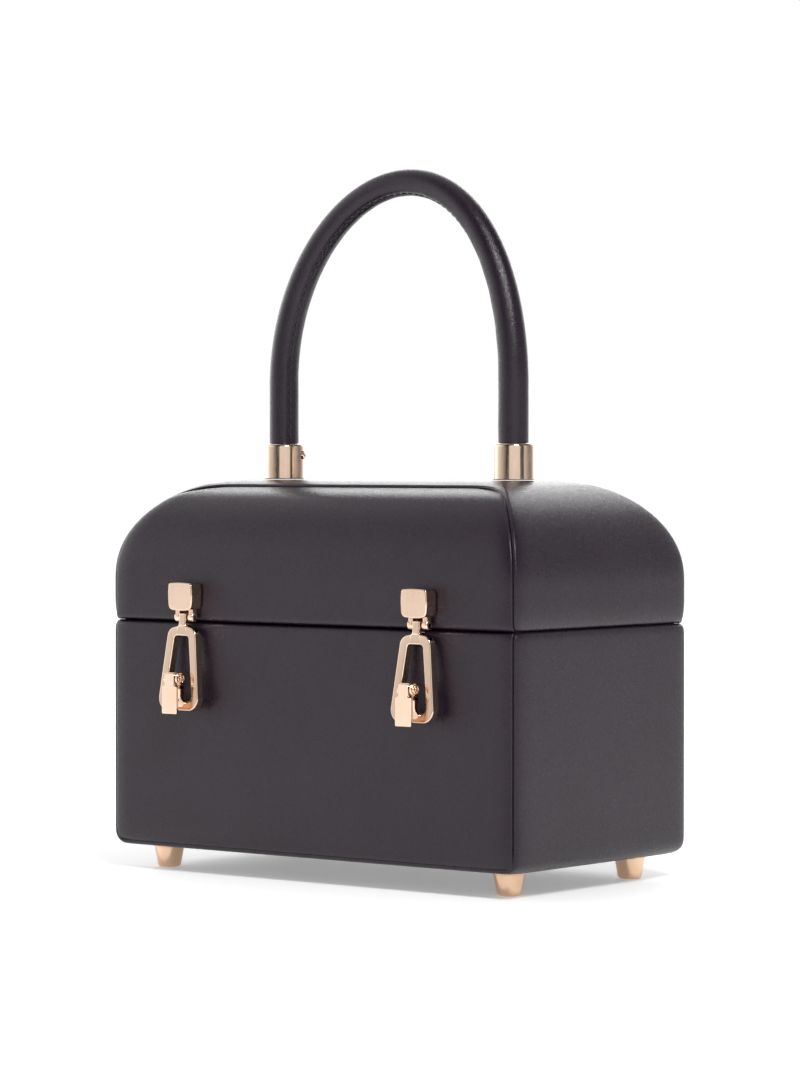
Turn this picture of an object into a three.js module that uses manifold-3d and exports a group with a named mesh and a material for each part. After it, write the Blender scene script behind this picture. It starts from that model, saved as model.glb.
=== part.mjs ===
// Small box handbag: a hard leather case with a domed hinged lid, an upright rolled
// handle, two front latches and four metal feet. Millimetres, +Z up, front towards -Y.
import * as THREE from 'three';
import { mergeVertices } from 'three/addons/utils/BufferGeometryUtils.js';
import Module from 'manifold-3d';

const wasm = await Module();
wasm.setup();

// Driving dimensions of the case
const WIDTH = 200;
const DEPTH = 108; // over the gusset's edges
const WALL = 2.6; // leather over board
const SEAT = 0.3; // clearance between pieces that touch
const FOOT_HEIGHT = 9.2;
const PARTING_Z = 98.2; // middle of the gap between base and lid
const PARTING_GAP = 0.5;
const LID_TOP_Z = 153.2;
const DOME_RADIUS = 37; // the lid's arc, at the front, the back and both ends
const BASE_CORNER_RADIUS = 8; // the gusset's turn from side to bottom
const EDGE_ROUND = 1.6; // the case's long edges
const RIM_ROUND = 1.1; // the rims along the gap
const FRAME_EDGE = 2.3; // the gusset's own edge, seen beside each panel
const FRAME_LOW = 1.4; // and below a base panel
const LID_PANEL_REACH = 25.5; // how far a lid panel runs in over the top
const LID_PANEL_CORNER = 32;
const CASE_STEPS = 6; // steps of a rounded corner, and half those of an arc
const METAL_STEPS = 4;

// The panels are padded: they stand proud, with a soft border
const PROUD = 1.6;
const PAD_BORDER = 6.5; // along the seams
const PAD_TOP = 14; // along the lid's top seams
const PAD_RIM = 1.6; // along the gap between base and lid
const PAD_STEPS = [0, 0.06, 0.22, 0.5, 1]; // shares of a border's width
const PAD_ARC_STEPS = 9;

// The lip inside the base's walls, which the lid closes over
const LIP = { thick: 1.2, low: 85, high: 102 };

// Driving dimensions of the handle and its ferrules
const HANDLE_X = 57.3; // a handle leg, from the middle
const HANDLE_DIAMETER = 11.3;
const HANDLE_LEG_TOP_Z = 191.5; // where the straight leg turns into the arch
const HANDLE_APEX_Z = 269.5;
const HANDLE_LEAN = 7; // how far the apex bends to the back
const HANDLE_LEG_SHARE = 0.15; // share of the line's parameter that a leg takes
const HANDLE_SIDES = 16;
const HANDLE_STEPS = 54;
const FERRULE_DIAMETER = 16;
const FERRULE_HEIGHT = 14;
const FERRULE_FLOOR = 2;
const FERRULE_LIP = 1.1; // rounding of the upper edge
const FERRULE_SIDES = 28;
const SCREW = { diameter: 3.4, z: 9.5, under: 0.1, proud: 0.8, turn: 20 }; // z from the ferrule's foot

// Driving dimensions of the feet
const FOOT_TOP_DIAMETER = 12.4;
const FOOT_BOTTOM_DIAMETER = 9.4;
const FOOT_ROUND = 1.3;
const FOOT_RIM = 0.6; // height of the straight rim at the top
const FOOT_INSET = 15.6;
const FOOT_SIDES = 24;

// Driving dimensions of a latch: heights from the floor, depths out from the panel's face
const LATCH_X = 57.8;
const BLOCK = { width: 11.9, low: 102.9, high: 113.4, depth: 6.4, bevel: 0.8 };
const BLOCK_ROUND = { low: 2.2, high: 1.2 };
const KNUCKLE = { z: 100.1, out: 2.6, diameter: 3.7, pin: 1.5, half: 4.8, neck: 3.4, waist: 0.4 };
const HASP = { back: 1.3, front: 4.9, bevel: 0.5, hang: 4.5 }; // hang in degrees, out at the foot
const LOOP = { low: 63.9, lowHalf: 10.6, lowRound: 4.6, high: 96.3, highHalf: 6.7, highRound: 4.2 };
const HOLE = { low: 67, lowHalf: 7, lowRound: 2.6, high: 92.8, highHalf: 3.6, highRound: 1.6 };
const LEVER = { z: 76.5, out: 9.55, barrel: 5, pin: 1.3, front: 12.6, back: 11.2 };
const PLATE = { low: 63, shoulder: 73.6, half: 3.8, upperHalf: 2.3, round: 0.9, bevel: 0.3 };
const EAR = { inner: 2.6, outer: 3.3, crown: 0.5, crownTop: 1.5 };
const LUG_FOOT = { low: 64.5, high: 67.7, out: 6.6 };
const LUG = { back: 7.2, front: 10.9, low: 69.2 };
const KEEPER = { width: 12, low: 64.6, high: 67.2, depth: 1.8, round: 0.8 };

// Driving dimensions of a rear hinge
const REAR = { x: 48, out: 2, knuckle: 3.6, pin: 1.5, width: 26, tall: 11, leaf: 1.1, middle: 9 };

const halfWidth = WIDTH / 2;
const halfDepth = DEPTH / 2;
const baseTopZ = PARTING_Z - PARTING_GAP / 2;
const lidLowZ = PARTING_Z + PARTING_GAP / 2;
const past = 1; // how far a cutter runs past what it cuts

// Colours and finishes
const finishes = {
  leather: { color: 0x2b292b, roughness: 0.45, metalness: 0 },
  roseGold: { color: 0xe2bfa6, roughness: 0.16, metalness: 1 },
  footGold: { color: 0xcda582, roughness: 0.3, metalness: 1 },
};
const materials = Object.fromEntries(
  Object.entries(finishes).map(([name, finish]) => [
    name,
    new THREE.MeshStandardMaterial(finish),
  ]),
);

// A closed geometry as a solid that can be cut and joined
function solid(geometry) {
  const bare = geometry.index ? geometry.toNonIndexed() : geometry.clone();
  for (const attribute of Object.keys(bare.attributes)) {
    if (attribute !== 'position') bare.deleteAttribute(attribute);
  }
  const merged = mergeVertices(bare, 1e-4);
  return new wasm.Manifold(
    new wasm.Mesh({
      numProp: 3,
      vertProperties: merged.attributes.position.array,
      triVerts: new Uint32Array(merged.index.array),
    }),
  );
}

// A named mesh of a solid
function piece(name, made, material) {
  const { vertProperties, triVerts } = made.getMesh();
  const geometry = new THREE.BufferGeometry();
  geometry.setAttribute('position', new THREE.BufferAttribute(new Float32Array(vertProperties), 3));
  geometry.setIndex(new THREE.BufferAttribute(new Uint32Array(triVerts), 1));
  geometry.computeVertexNormals();
  const mesh = new THREE.Mesh(geometry, materials[material]);
  mesh.name = name;
  return mesh;
}

function extrude(shape, length, bevel, steps) {
  return new THREE.ExtrudeGeometry(shape, {
    depth: length - 2 * bevel,
    curveSegments: steps,
    bevelEnabled: bevel > 0,
    bevelThickness: bevel,
    bevelSize: bevel,
    bevelOffset: -bevel,
    bevelSegments: 1,
  }).translate(0, 0, bevel);
}

// A shape drawn in X and Z, run along Y from y0 to y1
function runY(shape, y0, y1, bevel, steps) {
  return extrude(shape, y1 - y0, bevel, steps).rotateX(Math.PI / 2).translate(0, y1, 0);
}

function alongY(shape, y0, y1, bevel = 0, steps = METAL_STEPS) {
  return solid(runY(shape, y0, y1, bevel, steps));
}

// A shape drawn in Y and Z, run along X from x0 to x1
function alongX(shape, x0, x1, steps = METAL_STEPS) {
  const turn = new THREE.Matrix4().makeBasis(
    new THREE.Vector3(0, 1, 0),
    new THREE.Vector3(0, 0, 1),
    new THREE.Vector3(1, 0, 0),
  );
  return solid(extrude(shape, x1 - x0, 0, steps).applyMatrix4(turn).translate(x0, 0, 0));
}

// A shape drawn in X and Y, run up Z from z0 to z1
function alongZ(shape, z0, z1, steps = CASE_STEPS) {
  return solid(extrude(shape, z1 - z0, 0, steps).translate(0, 0, z0));
}

// A round rod along X, centred on y and z
function rodX(diameter, x0, x1, y, z) {
  const disc = new THREE.Shape().absarc(y, z, diameter / 2, 0, 2 * Math.PI);
  return alongX(disc, x0, x1);
}

// A turned form: rows of radius and height, closed on the Y axis
function lathe(rows, sides) {
  const points = rows.map(([radius, height]) => new THREE.Vector2(radius, height));
  return new THREE.LatheGeometry(points, sides);
}

function turned(rows, sides) {
  return solid(lathe(rows, sides).rotateX(Math.PI / 2));
}

// An outline of corners, each with its own rounding
function rounded(corners, path = new THREE.Shape()) {
  const at = (i) => {
    const { x, y } = corners[(i + corners.length) % corners.length];
    return new THREE.Vector2(x, y);
  };
  corners.forEach(({ round = 0 }, i) => {
    const corner = at(i);
    const before = at(i - 1).sub(corner).normalize();
    const after = at(i + 1).sub(corner).normalize();
    const reach = round / Math.tan(before.angleTo(after) / 2);
    const from = corner.clone().addScaledVector(before, reach);
    const to = corner.clone().addScaledVector(after, reach);
    if (i === 0) path.moveTo(from.x, from.y);
    else path.lineTo(from.x, from.y);
    if (round > 0) path.quadraticCurveTo(corner.x, corner.y, to.x, to.y);
  });
  path.closePath();
  return path;
}

function box(x0, x1, low, high, lowRound, highRound = lowRound) {
  return rounded([
    { x: x0, y: low, round: lowRound },
    { x: x1, y: low, round: lowRound },
    { x: x1, y: high, round: highRound },
    { x: x0, y: high, round: highRound },
  ]);
}

// The lid's profile: upright, then an arc over to a flat top
function domeProfile(half, low, inset, rim) {
  const side = half - inset;
  const radius = DOME_RADIUS - inset;
  const springZ = LID_TOP_Z - DOME_RADIUS;
  const shape = new THREE.Shape();
  shape.moveTo(-side + rim, low);
  shape.lineTo(side - rim, low);
  shape.quadraticCurveTo(side, low, side, low + rim);
  shape.lineTo(side, springZ);
  shape.absarc(half - DOME_RADIUS, springZ, radius, 0, Math.PI / 2);
  shape.absarc(DOME_RADIUS - half, springZ, radius, Math.PI / 2, Math.PI);
  shape.lineTo(-side, low + rim);
  shape.quadraticCurveTo(-side, low, -side + rim, low);
  return shape;
}

// Plan of the case, with its upright edges rounded
function plan(inset) {
  const across = halfWidth - inset;
  const deep = halfDepth - inset;
  return box(-across, across, -deep, deep, EDGE_ROUND);
}

function lidForm(inset) {
  const low = inset > 0 ? lidLowZ - past : lidLowZ;
  const rim = inset > 0 ? 0 : RIM_ROUND;
  const ends = domeProfile(halfWidth, low, inset, rim);
  const faces = domeProfile(halfDepth, low, inset, rim);
  return alongY(ends, -halfDepth, halfDepth, 0, CASE_STEPS)
    .intersect(alongX(faces, -halfWidth, halfWidth, CASE_STEPS))
    .intersect(alongZ(plan(inset), low, LID_TOP_Z));
}

function baseForm(inset) {
  const top = inset > 0 ? baseTopZ + past : baseTopZ;
  const rim = inset > 0 ? 0 : RIM_ROUND;
  const low = FOOT_HEIGHT + inset;
  const across = halfWidth - inset;
  const deep = halfDepth - inset;
  const front = box(-across, across, low, top, BASE_CORNER_RADIUS - inset, rim);
  const side = box(-deep, deep, low, top, EDGE_ROUND, rim);
  return alongY(front, -halfDepth, halfDepth)
    .intersect(alongX(side, -halfWidth, halfWidth))
    .intersect(alongZ(plan(inset), low, top));
}

// What the gusset leaves free for a base panel: the front view's outline, run along Y
function basePanelRegion(end) {
  const across = halfWidth - FRAME_EDGE + SEAT;
  const low = FOOT_HEIGHT + FRAME_LOW - SEAT;
  const outline = box(-across, across, low, baseTopZ + past, BASE_CORNER_RADIUS - FRAME_EDGE, 0);
  const inner = halfDepth - WALL - SEAT;
  const outer = halfDepth + past;
  return end < 0 ? alongY(outline, -outer, -inner) : alongY(outline, inner, outer);
}

// And for a lid panel, in plan: in along the hips at 45 degrees, then straight across
function lidPanelRegion(end) {
  const outerY = halfDepth + past;
  const outerX = halfWidth - FRAME_EDGE + past + SEAT;
  const innerX = halfWidth - FRAME_EDGE - LID_PANEL_REACH;
  const innerY = halfDepth - LID_PANEL_REACH - SEAT;
  const corners = [
    { x: -outerX, y: outerY },
    { x: -innerX, y: innerY, round: LID_PANEL_CORNER },
    { x: innerX, y: innerY, round: LID_PANEL_CORNER },
    { x: outerX, y: outerY },
  ];
  const turnedRound = corners.map(({ x, y, round }) => ({ x: end * x, y: end * y, round }));
  return alongZ(rounded(turnedRound), lidLowZ - past, LID_TOP_Z + past);
}

// Share of the full padding at a distance from an edge
function softEdge(distance, border) {
  const share = Math.min(distance / border, 1);
  return Math.sqrt(share * (2 - share));
}

// The same for the lid's top seams, where the padding rises slowly
function slowEdge(distance, border) {
  const share = Math.min(distance / border, 1);
  return share * share * (3 - 2 * share);
}

// What a rounded corner takes off the half width, at a distance from the edge it runs into
function cornerLoss(distance, reach, depth) {
  return distance < depth ? reach * (1 - Math.sqrt(distance / depth)) ** 2 : 0;
}

// Rows of a base panel's profile, from its bottom seam up to its rim
function basePanelRows() {
  const low = FOOT_HEIGHT + FRAME_LOW;
  const round = BASE_CORNER_RADIUS - FRAME_EDGE;
  const heights = [
    ...PAD_STEPS.map((step) => low + step * PAD_BORDER),
    ...PAD_STEPS.map((step) => baseTopZ - step * PAD_RIM).reverse(),
  ];
  return heights.map((z) => {
    const half = halfWidth - FRAME_EDGE - cornerLoss(z - low, round, round);
    return {
      outer: { y: halfDepth, z, half },
      inner: { y: halfDepth - WALL, z, half },
      normal: { y: 1, z: 0 },
      share: softEdge(z - low, PAD_BORDER) * softEdge(baseTopZ - z, PAD_RIM),
    };
  });
}

// Rows of a lid panel's profile, from its rim up and over to its top seam
function lidPanelRows() {
  const springZ = LID_TOP_Z - DOME_RADIUS;
  const turn = Math.acos(1 - LID_PANEL_REACH / DOME_RADIUS);
  const border = PAD_TOP / DOME_RADIUS;
  const cornerReach = LID_PANEL_CORNER * Math.tan(Math.PI / 8);
  const cornerDepth = cornerReach * Math.SQRT1_2;
  const halfAt = (inset) =>
    halfWidth - FRAME_EDGE - inset -
    cornerLoss(LID_PANEL_REACH - inset, cornerReach, cornerDepth);
  const arc = Array.from({ length: PAD_ARC_STEPS }, (_, i) => ((turn - border) * i) / PAD_ARC_STEPS);
  const stations = [
    ...PAD_STEPS.map((step) => ({ angle: 0, z: lidLowZ + step * PAD_RIM })),
    ...[...arc, ...PAD_STEPS.map((step) => turn - step * border).reverse()].map((angle) => ({
      angle,
      z: springZ + DOME_RADIUS * Math.sin(angle),
    })),
  ];
  return stations.map(({ angle, z }) => {
    const normal = { y: Math.cos(angle), z: Math.sin(angle) };
    const inset = Math.min(DOME_RADIUS * (1 - normal.y), LID_PANEL_REACH);
    const innerInset = Math.min(inset + WALL * normal.y, LID_PANEL_REACH);
    const toSeam = Math.max(DOME_RADIUS * (turn - angle), 0);
    return {
      outer: { y: halfDepth - inset, z, half: halfAt(inset) },
      inner: { y: halfDepth - innerInset, z: z - WALL * normal.z, half: halfAt(innerInset) },
      normal,
      share: softEdge(z - lidLowZ, PAD_RIM) * slowEdge(toSeam, PAD_TOP),
    };
  });
}

// A padded panel at the back, from rows of its profile
function paddedPanel(rows) {
  const borders = PAD_STEPS.map((step) => step * PAD_BORDER);
  const columns = [
    ...borders.map((border) => ({ side: -1, border })),
    ...borders.map((border) => ({ side: 1, border })).reverse(),
  ];
  const outer = rows.flatMap(({ outer: { y, z, half }, normal, share }) =>
    columns.map(({ side, border }) => {
      const height = PROUD * share * softEdge(border, PAD_BORDER);
      return [side * (half - border), y + normal.y * height, z + normal.z * height];
    }),
  );
  const inner = rows.flatMap(({ inner: { y, z, half } }) =>
    columns.map(({ side, border }) => [side * (half - border), y, z]),
  );
  const lastRow = rows.length - 1;
  const lastColumn = columns.length - 1;
  const at = (row, column) => row * columns.length + column;
  const toInner = (index) => index + outer.length;
  const faces = [];
  const quad = (a, b, c, d) => faces.push(a, b, c, a, c, d);
  for (let row = 0; row < lastRow; row += 1) {
    for (let column = 0; column < lastColumn; column += 1) {
      const ring = [at(row, column), at(row + 1, column), at(row + 1, column + 1), at(row, column + 1)];
      quad(...ring);
      quad(...ring.map(toInner).reverse());
    }
  }
  const edge = [
    ...columns.map((_, column) => at(0, column)),
    ...rows.slice(1).map((_, row) => at(row + 1, lastColumn)),
    ...columns.slice(1).map((_, column) => at(lastRow, lastColumn - 1 - column)),
    ...rows.slice(2).map((_, row) => at(lastRow - 1 - row, 0)),
  ];
  edge.forEach((from, i) => {
    const to = edge[(i + 1) % edge.length];
    quad(from, to, toInner(to), toInner(from));
  });
  const geometry = new THREE.BufferGeometry();
  geometry.setAttribute('position', new THREE.Float32BufferAttribute([...outer, ...inner].flat(), 3));
  geometry.setIndex(faces);
  return geometry;
}

// A padded front panel, a padded back panel and the gusset between them
function casePieces(name, shell, regionOf, rows) {
  const panel = paddedPanel(rows);
  const gusset = shell.subtract(regionOf(-1)).subtract(regionOf(1));
  return [
    piece(name + '_back_panel', solid(panel), 'leather'),
    piece(name + '_front_panel', solid(panel.clone().rotateZ(Math.PI)), 'leather'),
    piece(name + '_gusset', gusset, 'leather'),
  ];
}

// The lip: a plain band inside the base's walls, seen as the dark line of the gap
function innerLip() {
  const outline = plan(WALL + SEAT);
  outline.holes.push(plan(WALL + SEAT + LIP.thick));
  return piece('base_lip', alongZ(outline, LIP.low, LIP.high), 'leather');
}

// The handle's middle line: a straight leg, half an ellipse that leans back and a straight leg
class HandleLine extends THREE.Curve {
  constructor(lowZ) {
    super();
    this.lowZ = lowZ;
  }

  getPoint(t, target = new THREE.Vector3()) {
    const share = HANDLE_LEG_SHARE;
    const rise = HANDLE_LEG_TOP_Z - this.lowZ;
    if (t < share) return target.set(-HANDLE_X, 0, this.lowZ + (rise * t) / share);
    if (t > 1 - share) return target.set(HANDLE_X, 0, this.lowZ + (rise * (1 - t)) / share);
    const angle = (Math.PI * (t - share)) / (1 - 2 * share);
    const up = Math.sin(angle);
    const arch = HANDLE_APEX_Z - HANDLE_LEG_TOP_Z;
    return target.set(
      -HANDLE_X * Math.cos(angle),
      HANDLE_LEAN * up * up,
      HANDLE_LEG_TOP_Z + arch * up,
    );
  }
}

function handle() {
  const ring = Array.from({ length: HANDLE_SIDES }, (_, i) => {
    const angle = (2 * Math.PI * i) / HANDLE_SIDES;
    return new THREE.Vector2(Math.cos(angle), Math.sin(angle)).multiplyScalar(HANDLE_DIAMETER / 2);
  });
  const lowZ = LID_TOP_Z + SEAT + FERRULE_FLOOR + SEAT;
  const geometry = new THREE.ExtrudeGeometry(new THREE.Shape(ring), {
    steps: HANDLE_STEPS,
    extrudePath: new HandleLine(lowZ),
  });
  return piece('handle', solid(geometry), 'leather');
}

// A cup for a handle leg, with a set screw towards the other leg, turned a little to the back
function ferrule(side, name) {
  const group = new THREE.Group();
  group.position.set(side * HANDLE_X, 0, LID_TOP_Z + SEAT);
  group.rotation.z = -side * THREE.MathUtils.degToRad(SCREW.turn);
  const outer = FERRULE_DIAMETER / 2;
  const bore = HANDLE_DIAMETER / 2 + SEAT;
  const cup = turned(
    [
      [0, 0],
      [outer, 0],
      [outer, FERRULE_HEIGHT - FERRULE_LIP],
      [outer - 0.3 * FERRULE_LIP, FERRULE_HEIGHT - 0.3 * FERRULE_LIP],
      [outer - FERRULE_LIP, FERRULE_HEIGHT],
      [bore, FERRULE_HEIGHT],
      [bore, FERRULE_FLOOR],
      [0, FERRULE_FLOOR],
    ],
    FERRULE_SIDES,
  );
  const rod = (diameter, from, to) =>
    rodX(diameter, ...[-side * from, -side * to].sort((a, b) => a - b), 0, SCREW.z);
  const hole = rod(SCREW.diameter, bore - past, outer + past);
  const stem = rod(SCREW.diameter - 2 * SEAT, bore + SEAT, outer + SCREW.proud);
  const head = rod(SCREW.diameter, outer + SCREW.under, outer + SCREW.proud);
  group.add(
    piece('ferrule_' + name, cup.subtract(hole), 'roseGold'),
    piece('ferrule_screw_' + name, stem.add(head), 'roseGold'),
  );
  return group;
}

function foot(xSide, ySide, name) {
  const top = FOOT_TOP_DIAMETER / 2;
  const bottom = FOOT_BOTTOM_DIAMETER / 2;
  const height = FOOT_HEIGHT - SEAT;
  const made = turned(
    [
      [0, 0],
      [bottom - FOOT_ROUND, 0],
      [bottom - 0.3 * FOOT_ROUND, 0.3 * FOOT_ROUND],
      [bottom, FOOT_ROUND],
      [top - FOOT_RIM / 2, height - 1.5 * FOOT_RIM],
      [top, height - FOOT_RIM],
      [top, height],
      [0, height],
    ],
    FOOT_SIDES,
  );
  const mesh = piece('foot_' + name, made, 'footGold');
  mesh.position.set(xSide * (halfWidth - FOOT_INSET), ySide * (halfDepth - FOOT_INSET), 0);
  return mesh;
}

// The lid's half of a latch: a block with two knuckles, and the pin through them
function latchBlock(name) {
  const half = BLOCK.width / 2;
  const block = alongY(
    box(-half, half, BLOCK.low, BLOCK.high, BLOCK_ROUND.low, BLOCK_ROUND.high),
    -BLOCK.depth,
    -SEAT,
    BLOCK.bevel,
  );
  const { out, z } = KNUCKLE;
  const radius = KNUCKLE.diameter / 2;
  const inner = KNUCKLE.neck / 2 + SEAT;
  const ear = new THREE.Shape();
  ear.absarc(-out, z, radius, Math.PI, 2 * Math.PI);
  ear.lineTo(-out + radius - KNUCKLE.waist, BLOCK.low + past);
  ear.lineTo(-out - radius + KNUCKLE.waist, BLOCK.low + past);
  const bore = rodX(KNUCKLE.pin + 2 * SEAT, -half, half, -out, z);
  const made = block
    .add(alongX(ear, -KNUCKLE.half, -inner))
    .add(alongX(ear, inner, KNUCKLE.half))
    .subtract(bore);
  const pin = rodX(KNUCKLE.pin, -KNUCKLE.half, KNUCKLE.half, -out, z);
  return [
    piece('latch_block_' + name, made, 'roseGold'),
    piece('hasp_pin_' + name, pin, 'roseGold'),
  ];
}

function trapezoid({ low, lowHalf, lowRound, high, highHalf, highRound }, path) {
  const corners = [
    { x: -lowHalf, y: low, round: lowRound },
    { x: lowHalf, y: low, round: lowRound },
    { x: highHalf, y: high, round: highRound },
    { x: -highHalf, y: high, round: highRound },
  ];
  return rounded(corners, path);
}

// The hasp: a loop that hangs from a barrel, with a forked lug for the lever's pin
function hasp(name) {
  const { out, z } = KNUCKLE;
  const neckHalf = KNUCKLE.neck / 2;
  const shape = trapezoid(LOOP);
  shape.holes.push(trapezoid(HOLE, new THREE.Path()));
  const loop = runY(shape, -HASP.front, -HASP.back, HASP.bevel, METAL_STEPS)
    .translate(0, out, -z)
    .rotateX(THREE.MathUtils.degToRad(-HASP.hang))
    .translate(0, -out, z);
  const neck = box(-HASP.front, -HASP.back, HOLE.high, z, 0);
  const bore = rodX(KNUCKLE.pin + 2 * SEAT, -BLOCK.width, BLOCK.width, -out, z);
  const hanger = alongX(neck, -neckHalf, neckHalf)
    .add(rodX(KNUCKLE.diameter, -neckHalf, neckHalf, -out, z))
    .subtract(bore);
  return piece('hasp_' + name, solid(loop).add(hanger).add(lug()), 'roseGold');
}

// The lug: up from the loop's lower bar, with a round crowned ear each side of the lever
function lug() {
  const { out, z } = LEVER;
  const radius = LEVER.barrel / 2;
  const line = new THREE.Shape();
  line.moveTo(-LUG_FOOT.out, LUG_FOOT.low);
  line.lineTo(-LUG.front, LUG.low);
  line.lineTo(-LUG.front, z - radius / 2);
  line.absarc(-out, z, radius, Math.PI, 0, true);
  line.lineTo(-LUG.back, LUG.low);
  line.lineTo(-LUG_FOOT.out, LUG_FOOT.high);
  const slot = box(-LEVER.front, 0, z - radius - SEAT, z + radius + past, 0);
  const bore = rodX(LEVER.pin + 2 * SEAT, -LEVER.out, LEVER.out, -out, z);
  const crown = [
    [0, 0],
    [radius, 0],
    [EAR.crownTop, EAR.crown],
    [0, EAR.crown],
  ];
  const crowns = [-1, 1].map((side) =>
    solid(
      lathe(crown, FERRULE_SIDES / 2)
        .rotateZ((-side * Math.PI) / 2)
        .translate(side * EAR.outer, -out, z),
    ),
  );
  return crowns
    .reduce((made, one) => made.add(one), alongX(line, -EAR.outer, EAR.outer))
    .subtract(alongX(slot, -EAR.inner, EAR.inner))
    .subtract(bore);
}

function leverPin(name) {
  const reach = EAR.outer + EAR.crown;
  return piece('lever_pin_' + name, rodX(LEVER.pin, -reach, reach, -LEVER.out, LEVER.z), 'roseGold');
}

// The lever: a flip plate below a barrel that turns between the lug's ears
function lever(name) {
  const { out, z, front, back } = LEVER;
  const radius = LEVER.barrel / 2;
  const plate = alongY(
    box(-PLATE.half, PLATE.half, PLATE.low, PLATE.shoulder, PLATE.round),
    -front,
    -back,
    PLATE.bevel,
  );
  const upper = new THREE.Shape();
  upper.moveTo(-back, PLATE.shoulder - past);
  upper.lineTo(-back, z - radius);
  upper.absarc(-out, z, radius, -Math.PI / 2, Math.PI / 2);
  upper.lineTo(-front + PLATE.round, z + radius);
  upper.lineTo(-front, z + radius - PLATE.round);
  upper.lineTo(-front, PLATE.shoulder - past);
  const bore = rodX(LEVER.pin + 2 * SEAT, -PLATE.half, PLATE.half, -out, z);
  const made = plate.add(alongX(upper, -PLATE.upperHalf, PLATE.upperHalf)).subtract(bore);
  return piece('lever_' + name, made, 'roseGold');
}

// The base's half of a latch: a low bar behind the hasp's foot
function keeper(name) {
  const wide = KEEPER.width / 2;
  const outline = box(-wide, wide, KEEPER.low, KEEPER.high, KEEPER.round);
  return piece('keeper_' + name, alongY(outline, -KEEPER.depth, -SEAT), 'roseGold');
}

// A leaf of a rear hinge with its knuckles, on the base or on the lid
function hingeLeaf(name, side, spans) {
  const axisY = REAR.out;
  const wide = REAR.width / 2;
  const clear = REAR.knuckle / 2 + SEAT;
  const reach = [PARTING_Z + side * clear, PARTING_Z + side * REAR.tall].sort((a, b) => a - b);
  let made = alongY(box(-wide, wide, ...reach, 1), SEAT, SEAT + REAR.leaf);
  for (const [x0, x1] of spans) {
    const tongue = [PARTING_Z, PARTING_Z + side * (clear + past)].sort((a, b) => a - b);
    made = made
      .add(alongX(box(SEAT, SEAT + REAR.leaf, ...tongue, 0), x0, x1))
      .add(rodX(REAR.knuckle, x0, x1, axisY, PARTING_Z));
  }
  const bore = rodX(REAR.pin + 2 * SEAT, -wide - past, wide + past, axisY, PARTING_Z);
  return piece(name, made.subtract(bore), 'roseGold');
}

function hingePin(name) {
  const wide = REAR.width / 2;
  return piece(name, rodX(REAR.pin, -wide, wide, REAR.out, PARTING_Z), 'roseGold');
}

// The whole bag, with the middle of its outer box over the origin
const bag = new THREE.Group();
bag.position.y = (LEVER.front - REAR.out - REAR.knuckle / 2) / 2;
const base = new THREE.Group();
const lid = new THREE.Group();
bag.add(base, lid);

const baseShell = baseForm(0).subtract(baseForm(WALL));
const lidShell = lidForm(0).subtract(lidForm(WALL));
base.add(...casePieces('base', baseShell, basePanelRegion, basePanelRows()));
base.add(innerLip());
lid.add(...casePieces('lid', lidShell, lidPanelRegion, lidPanelRows()));
lid.add(handle());

for (const [side, name] of [[-1, 'left'], [1, 'right']]) {
  lid.add(ferrule(side, name));
  base.add(foot(side, -1, 'front_' + name), foot(side, 1, 'back_' + name));

  const baseFront = new THREE.Group();
  const lidFront = new THREE.Group();
  baseFront.position.set(side * LATCH_X, -halfDepth - PROUD, 0);
  lidFront.position.copy(baseFront.position);
  baseFront.add(keeper(name));
  lidFront.add(...latchBlock(name), hasp(name), leverPin(name), lever(name));

  const baseBack = new THREE.Group();
  const lidBack = new THREE.Group();
  baseBack.position.set(side * REAR.x, halfDepth + PROUD, 0);
  lidBack.position.copy(baseBack.position);
  const middle = REAR.middle / 2;
  const edge = REAR.width / 2;
  const outerSpans = [[-edge, -middle - SEAT], [middle + SEAT, edge]];
  baseBack.add(hingeLeaf('rear_hinge_base_' + name, -1, outerSpans));
  baseBack.add(hingePin('rear_hinge_pin_' + name));
  lidBack.add(hingeLeaf('rear_hinge_lid_' + name, 1, [[-middle, middle]]));

  base.add(baseFront, baseBack);
  lid.add(lidFront, lidBack);
}

export default bag;
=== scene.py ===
import math
import bmesh
import bpy
import numpy as np
from mathutils import Matrix, Vector


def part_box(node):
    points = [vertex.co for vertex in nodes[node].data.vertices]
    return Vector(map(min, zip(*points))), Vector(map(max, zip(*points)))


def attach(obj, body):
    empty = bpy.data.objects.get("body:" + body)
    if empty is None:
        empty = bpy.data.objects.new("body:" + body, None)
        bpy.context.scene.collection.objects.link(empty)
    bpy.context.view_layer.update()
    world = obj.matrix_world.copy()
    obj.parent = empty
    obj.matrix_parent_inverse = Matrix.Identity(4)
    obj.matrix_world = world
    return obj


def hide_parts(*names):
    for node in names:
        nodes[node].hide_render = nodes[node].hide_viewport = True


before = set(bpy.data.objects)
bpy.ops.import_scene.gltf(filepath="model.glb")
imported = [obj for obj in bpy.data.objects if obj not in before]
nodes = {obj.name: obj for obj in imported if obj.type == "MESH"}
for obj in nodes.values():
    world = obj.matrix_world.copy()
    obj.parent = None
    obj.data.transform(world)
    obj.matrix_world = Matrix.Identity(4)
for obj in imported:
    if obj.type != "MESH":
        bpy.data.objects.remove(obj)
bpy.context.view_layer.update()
print("frame loaded,", len(nodes), "nodes")

mm = 0.001  # everything below is drawn in millimetres, in the part's own frame
baseLow, baseHigh = (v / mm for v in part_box("base_gusset"))
lidLow, lidHigh = (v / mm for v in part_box("lid_gusset"))

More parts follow.
